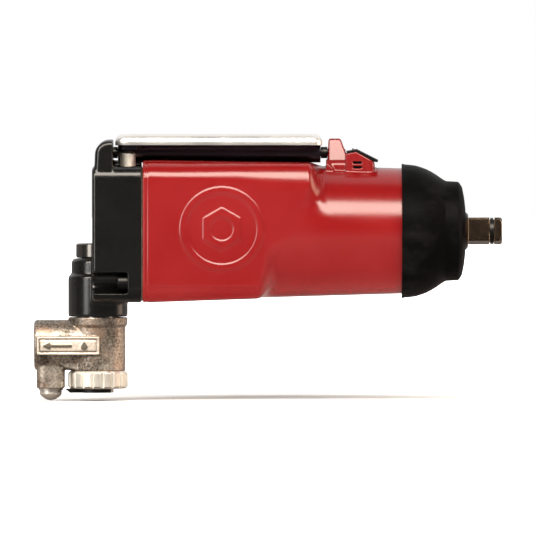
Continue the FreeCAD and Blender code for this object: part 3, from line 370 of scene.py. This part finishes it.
def cast_nickel():
    """Nickel over a rough investment casting: warm, mottled and pitted, with painted shade in its corners.

    The crown of the inlet arm is darkened with painted shade, the sign panel's face is lightened as a
    painted highlight and its marks are dark.
    """
    look = Finish("cast_nickel", Metallic=1.0)
    mottle = look.noise(0.9 * MM, 5)
    patches = look.noise(8 * MM, 4)
    rust = look.noise(11 * MM, 3)
    pits = look.noise(0.45 * MM, 4)
    bright = look.blend(look.span(mottle, 0.35, 0.6), (0.30, 0.26, 0.22), (0.66, 0.585, 0.505))
    dull = look.blend(look.span(mottle, 0.4, 0.62), (0.10, 0.084, 0.07), (0.38, 0.325, 0.275))
    spot = look.add("ShaderNodeSeparateXYZ")
    look.feed(spot.inputs[0], look.place)
    # Painted shade: the crown of the inlet arm's outer end is darkened towards the dull colour; random
    # dull patches join it.
    crown_shade = look.calc("MULTIPLY", look.span(spot.outputs["Z"], *CROWN_Z),
                      look.span(spot.outputs["X"], *CROWN_X))
    patches_and_crown_shade = look.calc("MAXIMUM", crown_shade, look.span(patches, 0.46, 0.60))
    body = look.blend(patches_and_crown_shade, bright, dull)
    body = look.blend(look.span(rust, 0.52, 0.68, 0, 0.55), body, (0.50, 0.33, 0.235))
    # Painted shade: ambient occlusion darkens the corners and crevices of the casting.
    corners = look.add("ShaderNodeAmbientOcclusion", samples=6, only_local=True)
    corners.inputs["Distance"].default_value = 0.9 * MM
    painted_corner_shade = look.span(corners.outputs["AO"], 0.55, 0.9, 0.75, 0)
    # Painted highlight: the sign panel's face is lightened and given a higher roughness to catch the key
    # light.
    below = look.span(spot.outputs["Z"], *SIGN_TOP_Z)
    brightened = look.calc("MULTIPLY", below, look.span(spot.outputs["Y"], *SIGN_FACE_Y, 0, 0.62))
    marked = look.calc("MULTIPLY", below, look.span(spot.outputs["Y"], *SIGN_MARKS_Y, 0, 0.9))
    body = look.blend(brightened, body, (0.90, 0.81, 0.71))
    body = look.blend(painted_corner_shade, body, (0.07, 0.055, 0.045))
    look.set(Base_Color=look.blend(marked, body, (0.12, 0.10, 0.08)))
    grain = look.span(mottle, 0.3, 0.7, 0.54, 0.4)
    look.set(Roughness=look.calc("MAXIMUM", grain, brightened))
    look.relief([(mottle, 0.08 * MM), (pits, 0.04 * MM)])
    return look


def zinc_plate():
    """Bright zinc plate on turned steel."""
    return metal("zinc_plate", (0.95, 0.89, 0.81), 0.48, 0.6 * MM, 0.01 * MM, 0.1, 0.25 * MM)


def black_oxide():
    return metal("black_oxide", (0.035, 0.034, 0.034), 0.38, 0.3 * MM, 0.004 * MM, 0.25)


def phosphate():
    """Oiled dark phosphate on the anvil; its edges are lightened to a bright bronze tint, partly wear and
    partly painted highlight.
    """
    look = Finish("phosphate", Metallic=1.0)
    clouds = look.noise(4 * MM, 4)
    grains = look.noise(0.3 * MM, 3)
    brightened, normal = look.edges(0.55 * MM)
    body = look.blend(look.span(clouds, 0.3, 0.7), (0.012, 0.0085, 0.0065), (0.024, 0.017, 0.012))
    # Edges lightened to bright bronze: partly wear, partly painted highlight.
    look.set(Base_Color=look.blend(brightened, body, (0.75, 0.56, 0.38)))
    look.set(Roughness=look.span(grains, 0.3, 0.7, 0.28, 0.42))
    look.relief([(grains, 0.006 * MM)], normal)
    return look


def ground_steel():
    """Ground steel, its grain drawn out along the drive axis."""
    return metal("ground_steel", (0.55, 0.55, 0.56), 0.22, 0.5 * MM, 0.002 * MM, 0.08, 0.2 * MM,
                 (0.15, 1, 1))


def smoked_chrome():
    """Dark bright plate of the regulator knob."""
    return metal("smoked_chrome", (0.14, 0.13, 0.12), 0.18, 0.5 * MM, 0.002 * MM, 0.1, 0.2 * MM)


def spring_steel():
    return metal("spring_steel", (0.42, 0.42, 0.44), 0.25, 0.4 * MM, 0.002 * MM)


def brass():
    return metal("brass", (0.72, 0.50, 0.20), 0.27, 0.5 * MM, 0.003 * MM, 0.12, 0.15 * MM, (0.2, 1, 1))


def bronze():
    """Sintered bronze: fine open grain."""
    return metal("sintered_bronze", (0.50, 0.32, 0.15), 0.45, 0.25 * MM, 0.02 * MM, 0.15)


def gasket_fibre():
    look = Finish("gasket_fibre", Roughness=0.8)
    fibres = look.noise(0.5 * MM, 4, (1, 1, 0.2))
    look.set(Base_Color=look.blend(look.span(fibres, 0.3, 0.7), (0.05, 0.04, 0.03), (0.11, 0.09, 0.065)))
    look.relief([(fibres, 0.03 * MM)])
    return look


def phenolic():
    """Brown cloth-filled phenolic vanes: a fine weave under a dull skin."""
    look = Finish("phenolic")
    weave = look.noise(0.4 * MM, 2, (0.3, 1, 1))
    look.set(Base_Color=look.blend(look.span(weave, 0.35, 0.65), (0.13, 0.055, 0.02), (0.22, 0.11, 0.045)))
    look.set(Roughness=look.span(weave, 0.3, 0.7, 0.5, 0.7))
    look.relief([(weave, 0.01 * MM)])
    return look


LOOKS = {
    red_paint: ["motor_housing", "nose_housing"],
    black_paint: ["rear_cover", "exhaust_deflector"],
    boot_rubber: ["nose_boot"],
    soft_rubber: ["forward_plunger_seal", "reverse_plunger_seal", "regulator_seal", "swivel_seals"],
    chrome: ["throttle_lever"],
    cast_nickel: ["swivel_body"],
    zinc_plate: ["swivel_nut", "oil_plug", "oil_plug_washer", "forward_plunger", "reverse_plunger"],
    black_oxide: ["rear_cover_screws", "nose_screws", "swivel_clip", "regulator_screw", "retainer_ring",
                  "lever_pin", "lever_washers"],
    phosphate: ["anvil"],
    smoked_chrome: ["regulator_knob"],
    ground_steel: ["rotor", "hammer_cage", "hammer_pins", "hammer", "rear_end_plate",
                   "front_end_plate", "motor_cylinder", "cylinder_pin", "inlet_stem",
                   "rear_bearing_outer_ring", "rear_bearing_inner_ring", "rear_bearing_balls",
                   "front_bearing_outer_ring", "front_bearing_inner_ring", "front_bearing_balls"],
    spring_steel: ["forward_plunger_spring", "reverse_plunger_spring"],
    brass: ["valve_sleeves", "regulator_valve", "rear_bearing_cage", "front_bearing_cage",
            "inlet_strainer", "exhaust_silencer"],
    bronze: ["anvil_bush"],
    gasket_fibre: ["rear_gasket", "nose_gasket"],
    phenolic: ["vane_1", "vane_2", "vane_3", "vane_4", "vane_5"],
}


def dress(piece, look):
    piece.data.materials.clear()
    piece.data.materials.append(look.material)


def stand_for(node, piece, body, look):
    """Shows the piece instead of the CAD node, on the same body."""
    dress(piece, look)
    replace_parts(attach(piece, body), node)


# Housing --------------------------------------------------------------------------------------

# All in millimetres. Pairs and triples are values at the places along X that stand before them.

GRIP_BACK_X = -143.6
GRIP_SIDE = 26.4
DRAFT_X = (GRIP_BACK_X, -58)
GRIP_TOP = (28.5, 27.2)
GRIP_BOTTOM = (28.3, 25.4)
CORNER_X = (-131, -106, -86)
CORNER_WIDE = (9.5, 7.5, 6.7)
CORNER_TALL = (7.9, 8.0, 10.7)
LOWER_CORNER = 5.2
BACK_BEVEL_DEPTH = 0.5
BACK_BEVEL_LENGTH = 0.6

BARREL_FRONT_X = -38.5
BARREL_X = (-90, BARREL_FRONT_X)
BARREL_RADIUS = (26.5, 25.0)

# Where the grip starts and ends melting into the barrel, at heights from the bottom to the top.
BLEND_LEVELS = (-24, -21, -18, -15, -11, -6, 0, 6, 12, 18, 29)
BLEND_STARTS = (-98.2, -97.6, -97, -96.5, -96, -95, -92, -86, -80.5, -78.2, -77.5)
BLEND_ENDS = (-89.5, -89.5, -89.5, -89.5, -89.5, -86, -75, -67, -69.5, -71, -71)

# The groove round the grip's rim: its place, its depth, and the half width of its floor and mouth.
RIM_GROOVE_X = -142.0
RIM_GROOVE_DEPTH = 0.45
RIM_GROOVE_HALF = (0.15, 0.6)

# The grip's side steps in below a low line that ends before the barrel.
STEP_DEPTH = 0.35
STEP_Z = (-22.3, -21.5)
STEP_END_X = (-100, -97)

EMBLEM = (-112.0, 1.2)
EMBLEM_PROUD = 0.42
EMBLEM_EDGE = 0.25
RING_RADII = (14.0, 16.8)
NUT_HALF = 7.5
NUT_BORE = 4.6
SIDE_FROM_Y = 20

LEVER_AXIS_Z = 31.4
CHANNEL_RADIUS = 4.5
CHANNEL_FRONT_X = -71.8

STATION_STEP = 0.3
TURNS = 600
TOP_WORKS = (-70.4, -10.3, 20.5), (-49.9, 10.3, 40.0)


def corner_reach(side, height, wide, tall, angle):
    """Distance from the axis to a quarter of a box whose corner is an ellipse, wide by tall.

    The angle is measured from the direction in which the box reaches its height.
    """
    across, up = np.sin(angle), np.cos(angle)
    flat_top = height / np.maximum(up, 1e-9)
    flat_side = side / np.maximum(across, 1e-9)
    middle, level = side - wide, height - tall
    a = (across / wide) ** 2 + (up / tall) ** 2
    b = middle * across / wide ** 2 + level * up / tall ** 2
    c = (middle / wide) ** 2 + (level / tall) ** 2 - 1
    round_corner = (b + np.sqrt(np.maximum(b * b - a * c, 0))) / a
    on_top = flat_top * across <= middle
    on_side = flat_side * up <= level
    return np.where(on_top, flat_top, np.where(on_side, flat_side, round_corner))


def grip_reach(x, angle):
    """Distance from the drive axis to the boxy grip; angle is 0 straight up and pi straight down."""
    top = np.interp(x, DRAFT_X, GRIP_TOP)
    bottom = np.interp(x, DRAFT_X, GRIP_BOTTOM)
    wide = np.interp(x, CORNER_X, CORNER_WIDE)
    tall = np.interp(x, CORNER_X, CORNER_TALL)
    upper = corner_reach(GRIP_SIDE, top, wide, tall, angle)
    lower = corner_reach(GRIP_SIDE, bottom, LOWER_CORNER, LOWER_CORNER, math.pi - angle)
    return np.where(angle < math.pi / 2, upper, lower)


def barrel_reach(x):
    """Radius of the round barrel, which its casting draft widens towards the grip."""
    return np.interp(x, BARREL_X, BARREL_RADIUS)


def emblem_height(x, z):
    """Height of the cast emblem, a ring round a plain hexagon nut, above the side of the grip."""
    across, up = x - EMBLEM[0], z - EMBLEM[1]
    apart = np.hypot(across, up)
    ring = np.minimum(apart - RING_RADII[0], RING_RADII[1] - apart)
    off_flat = (np.arctan2(up, across) + math.pi / 6) % (math.pi / 3) - math.pi / 6
    nut = np.minimum(NUT_HALF - apart * np.cos(off_flat), apart - NUT_BORE)
    return EMBLEM_PROUD * ramp(np.maximum(ring, nut), -EMBLEM_EDGE, EMBLEM_EDGE)


def channel_height(x, y):
    """Floor of the shallow channel that the lever's tube turns in."""
    half = CHANNEL_RADIUS * (x < CHANNEL_FRONT_X)
    return LEVER_AXIS_Z - np.sqrt(np.maximum(half ** 2 - y ** 2, 0))


def housing_ring(x, heading):
    """Y and Z of the housing's skin all round the drive axis, at one place along it."""
    folded = np.minimum(heading, 2 * math.pi - heading)
    box = grip_reach(x, folded)
    level = box * np.cos(folded)
    start = np.interp(level, BLEND_LEVELS, BLEND_STARTS)
    end = np.interp(level, BLEND_LEVELS, BLEND_ENDS)
    reach = box + (barrel_reach(x) - box) * ramp(x, start, end)
    reach = reach - RIM_GROOVE_DEPTH * (1 - ramp(abs(x - RIM_GROOVE_X), *RIM_GROOVE_HALF))
    reach = reach - BACK_BEVEL_DEPTH * (1 - ramp(x, GRIP_BACK_X, GRIP_BACK_X + BACK_BEVEL_LENGTH))
    y, z = reach * np.sin(heading), reach * np.cos(heading)
    y = y + np.sign(y) * emblem_height(x, z) * (np.abs(y) > SIDE_FROM_Y)
    y = y - np.sign(y) * STEP_DEPTH * (1 - ramp(z, *STEP_Z)) * (1 - ramp(x, *STEP_END_X))
    z = np.where(z > 0, np.minimum(z, channel_height(x, y)), z)
    return y, z


def housing_skin():
    """Closed skin of the grip and the barrel, melting from one into the other."""
    stations = np.arange(GRIP_BACK_X, BARREL_FRONT_X + 0.01, STATION_STEP)
    heading = np.arange(TURNS) * 2 * math.pi / TURNS
    points = []
    for x in stations:
        points += [(x * MM, y * MM, z * MM) for y, z in zip(*housing_ring(x, heading))]
    faces = []
    for i in range(len(stations) - 1):
        here, there = i * TURNS, (i + 1) * TURNS
        for k in range(TURNS):
            after = (k + 1) % TURNS
            faces.append((here + k, there + k, there + after, here + after))
    faces.append(tuple(range(TURNS)))
    faces.append(tuple(range((len(stations) - 1) * TURNS, len(stations) * TURNS))[::-1])
    return mesh_object("housing_shell", points, faces)


def housing_shell(look):
    """The housing's skin with the CAD housing's post, saddle and exhaust tower cast on top."""
    skin = housing_skin()
    works = copy_of("motor_housing", "top_works")
    window = box_object("window", *TOP_WORKS)
    weld = works.modifiers.new("weld", "WELD")
    weld.merge_threshold = 0.001 * MM
    keep = works.modifiers.new("keep", "BOOLEAN")
    keep.operation = "INTERSECT"
    keep.object = window
    apply_modifiers(works)
    bpy.data.objects.remove(window)
    with bpy.context.temp_override(active_object=skin, selected_editable_objects=[skin, works]):
        bpy.ops.object.join()
    recast(skin, 0.32 * MM, 3)
    stand_for("motor_housing", skin, "housing", look)


# Other castings -------------------------------------------------------------------------------

def rear_casting(look):
    casting = copy_of("rear_cover", "rear_casting")
    recast(casting, 0.35 * MM, 4)
    stand_for("rear_cover", casting, "housing", look)


def swivel_casting(look):
    casting = copy_of("swivel_body", "swivel_casting")
    recast(casting, 0.25 * MM, 3)
    stand_for("swivel_body", casting, "inlet_swivel", look)


# Boot -----------------------------------------------------------------------------------------

# The boot's section in millimetres as (x, radius), from the rear lip to the front edge and back.
BOOT_OUTSIDE = [(-40.2, 27.0), (-39.2, 26.7), (-37.0, 26.5), (-34.6, 26.2), (-32.6, 25.6), (-30.4, 24.8),
                (-28.4, 23.8), (-26.4, 22.6), (-24.6, 21.3), (-22.6, 20.0), (-20.0, 19.85), (-17.4, 19.7),
                (-16.0, 17.6), (-15.2, 13.6), (-14.6, 8.6)]
BOOT_INSIDE = [(-15.4, 8.6), (-16.0, 13.4), (-17.6, 16.5), (-22.4, 16.6), (-26.4, 20.5), (-29.2, 22.7),
               (-31.2, 24.1), (-34.0, 25.3), (-40.0, 25.3)]
BOOT_EDGE = 0.55
BOOT_SEGMENTS = 160


def boot(look):
    """Rubber boot: thin flared rear lip, swelling dome, neck and soft front edge."""
    section = rounded(BOOT_OUTSIDE + BOOT_INSIDE, BOOT_EDGE, steps=4)
    piece = turned("boot", [(x * MM, radius * MM) for x, radius in section], BOOT_SEGMENTS)
    stand_for("nose_boot", piece, "housing", look)


# Springs --------------------------------------------------------------------------------------

SPRING_SEAT_Z = 1.2 * MM


def plunger_springs(look):
    """Coils that stand in for the plunger springs' CAD nodes, each given a mesh of its own."""
    for side in ("forward", "reverse"):
        coils = copy_of(f"{side}_plunger_spring", f"{side}_coils")
        height = coordinates(coils.data)[:, 2].max() - SPRING_SEAT_Z
        stand_for(f"{side}_plunger_spring", coils, "housing", look)
        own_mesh(coils)


# Stage ----------------------------------------------------------------------------------------

VIEW_CENTRE = Vector((-93.6 * MM, 0, -14.8 * MM))
VIEW_WIDTH = 214.4 * MM
VIEW_RISE = math.radians(1.0)
LENS = 1200.0
SENSOR = 36.0

FLOOR_HALF = 5.0
MIRROR_FADE_Y = (-0.03, 0.06)
GLOW_REACH = (0.07, 0.38)
GLOW_SEEN = 2.0
GLOW_MIRRORED = 0.1
GLOW_SPREAD = 1.4

WORLD_FADE_Y = (-0.1, 0.6)
WORLD_FRONT = 0.08
WORLD_BACK = 0.4


def floor():
    """Pale floor with a soft shadow under the tool, fading to plain white far away.

    Mirror rays see it dim, which keeps the gloss paint clear, and diffuse rays see it glow, which
    lights the tool's underside.
    """
    signs = ((-1, -1), (1, -1), (1, 1), (-1, 1))
    corners = [(x * FLOOR_HALF, y * FLOOR_HALF, FLOOR_Z) for x, y in signs]
    sheet = mesh_object("floor", corners, [(0, 1, 2, 3)])
    look = Finish("floor_paper", Roughness=0.9)
    grain = look.noise(4 * MM, 3)
    path = look.add("ShaderNodeLightPath")
    mirrored = path.outputs["Is Glossy Ray"]
    pale = look.blend(grain, (0.88, 0.88, 0.87), (0.92, 0.92, 0.915))
    side = look.add("ShaderNodeSeparateXYZ")
    look.feed(side.inputs[0], look.place)
    behind = look.span(side.outputs["Y"], *MIRROR_FADE_Y)
    flagged = look.blend(behind, (0.05, 0.048, 0.046), (0.42, 0.36, 0.34))
    look.set(Base_Color=look.blend(mirrored, pale, flagged))
    apart = look.add("ShaderNodeVectorMath", operation="DISTANCE")
    look.feed(apart.inputs[0], look.place)
    apart.inputs[1].default_value = (VIEW_CENTRE.x, 0, FLOOR_Z)
    far = look.span(apart.outputs["Value"], *GLOW_REACH)
    glow = look.calc("MULTIPLY", far, look.span(mirrored, 0, 1, GLOW_SEEN, GLOW_MIRRORED))
    spread = look.calc("MULTIPLY", path.outputs["Is Diffuse Ray"], GLOW_SPREAD)
    look.set(Emission_Color=(1, 1, 1, 1), Emission_Strength=look.calc("MAXIMUM", glow, spread))
    dress(sheet, look)


def softbox(name, size, elevation, azimuth, distance, radiance, colour):
    """Area light that faces the tool from an elevation and an azimuth in degrees, 0 the camera's."""
    light = bpy.data.lights.new(name, "AREA")
    light.shape = "RECTANGLE"
    light.size, light.size_y = size
    light.energy = radiance * math.pi * size[0] * size[1]
    light.color = colour
    lamp = bpy.data.objects.new(name, light)
    rise, turn = math.radians(elevation), math.radians(azimuth)
    away = Vector((math.sin(turn) * math.cos(rise), -math.cos(turn) * math.cos(rise), math.sin(rise)))
    target = Vector((VIEW_CENTRE.x, 0, 0))
    lamp.location = target + away * distance
    lamp.rotation_mode = "QUATERNION"
    lamp.rotation_quaternion = away.to_track_quat("Z", "Y")
    bpy.context.scene.collection.objects.link(lamp)


def world():
    """White to the camera; to the tool it is dim on the camera's side and pale behind."""
    studio = bpy.data.worlds.new("studio")
    studio.use_nodes = True
    bpy.context.scene.world = studio
    tree = studio.node_tree
    coord = tree.nodes.new("ShaderNodeTexCoord")
    split = tree.nodes.new("ShaderNodeSeparateXYZ")
    tree.links.new(coord.outputs["Generated"], split.inputs[0])
    fade = tree.nodes.new("ShaderNodeMapRange")
    tree.links.new(split.outputs["Y"], fade.inputs["Value"])
    fade.inputs["From Min"].default_value, fade.inputs["From Max"].default_value = WORLD_FADE_Y
    fade.inputs["To Min"].default_value = WORLD_FRONT
    fade.inputs["To Max"].default_value = WORLD_BACK
    path = tree.nodes.new("ShaderNodeLightPath")
    pick = tree.nodes.new("ShaderNodeMix")
    tree.links.new(path.outputs["Is Camera Ray"], pick.inputs["Factor"])
    tree.links.new(fade.outputs["Result"], pick.inputs["A"])
    pick.inputs["B"].default_value = 1.0
    backdrop = tree.nodes["Background"]
    backdrop.inputs["Color"].default_value = (1, 1, 1, 1)
    tree.links.new(pick.outputs["Result"], backdrop.inputs["Strength"])


def camera():
    """Long lens a little above level, square to the tool's side."""
    lens = bpy.data.cameras.new("camera")
    lens.lens = LENS
    lens.sensor_width = SENSOR
    eye = bpy.data.objects.new("camera", lens)
    distance = VIEW_WIDTH * LENS / SENSOR
    away = Vector((0, -math.cos(VIEW_RISE), math.sin(VIEW_RISE)))
    eye.location = VIEW_CENTRE + away * distance
    eye.rotation_euler = (math.pi / 2 - VIEW_RISE, 0, 0)
    bpy.context.scene.collection.objects.link(eye)
    bpy.context.scene.camera = eye


# Build ----------------------------------------------------------------------------------------

def main():
    looks = {}
    for make, members in LOOKS.items():
        look = make()
        for node in members:
            looks[node] = look
            dress(NODES[node], look)
    housing_shell(looks["motor_housing"])
    rear_casting(looks["rear_cover"])
    swivel_casting(looks["swivel_body"])
    boot(looks["nose_boot"])
    plunger_springs(looks["forward_plunger_spring"])
    floor()
    softbox("key_strip", size=(1.6, 0.29), elevation=43, azimuth=0, distance=0.7, radiance=13,
            colour=(1.0, 0.91, 0.80))
    softbox("left_strip", size=(0.24, 0.7), elevation=6, azimuth=-49, distance=0.8, radiance=6,
            colour=(1.0, 0.97, 0.93))
    softbox("right_strip", size=(0.4, 0.5), elevation=4, azimuth=96, distance=0.8, radiance=4,
            colour=(1.0, 0.72, 0.52))
    softbox("rear_fill", size=(2.2, 1.4), elevation=50, azimuth=180, distance=1.0, radiance=0.55,
            colour=(1.0, 0.98, 0.95))
    world()
    camera()
    bpy.context.scene.view_settings.view_transform = "Standard"


main()
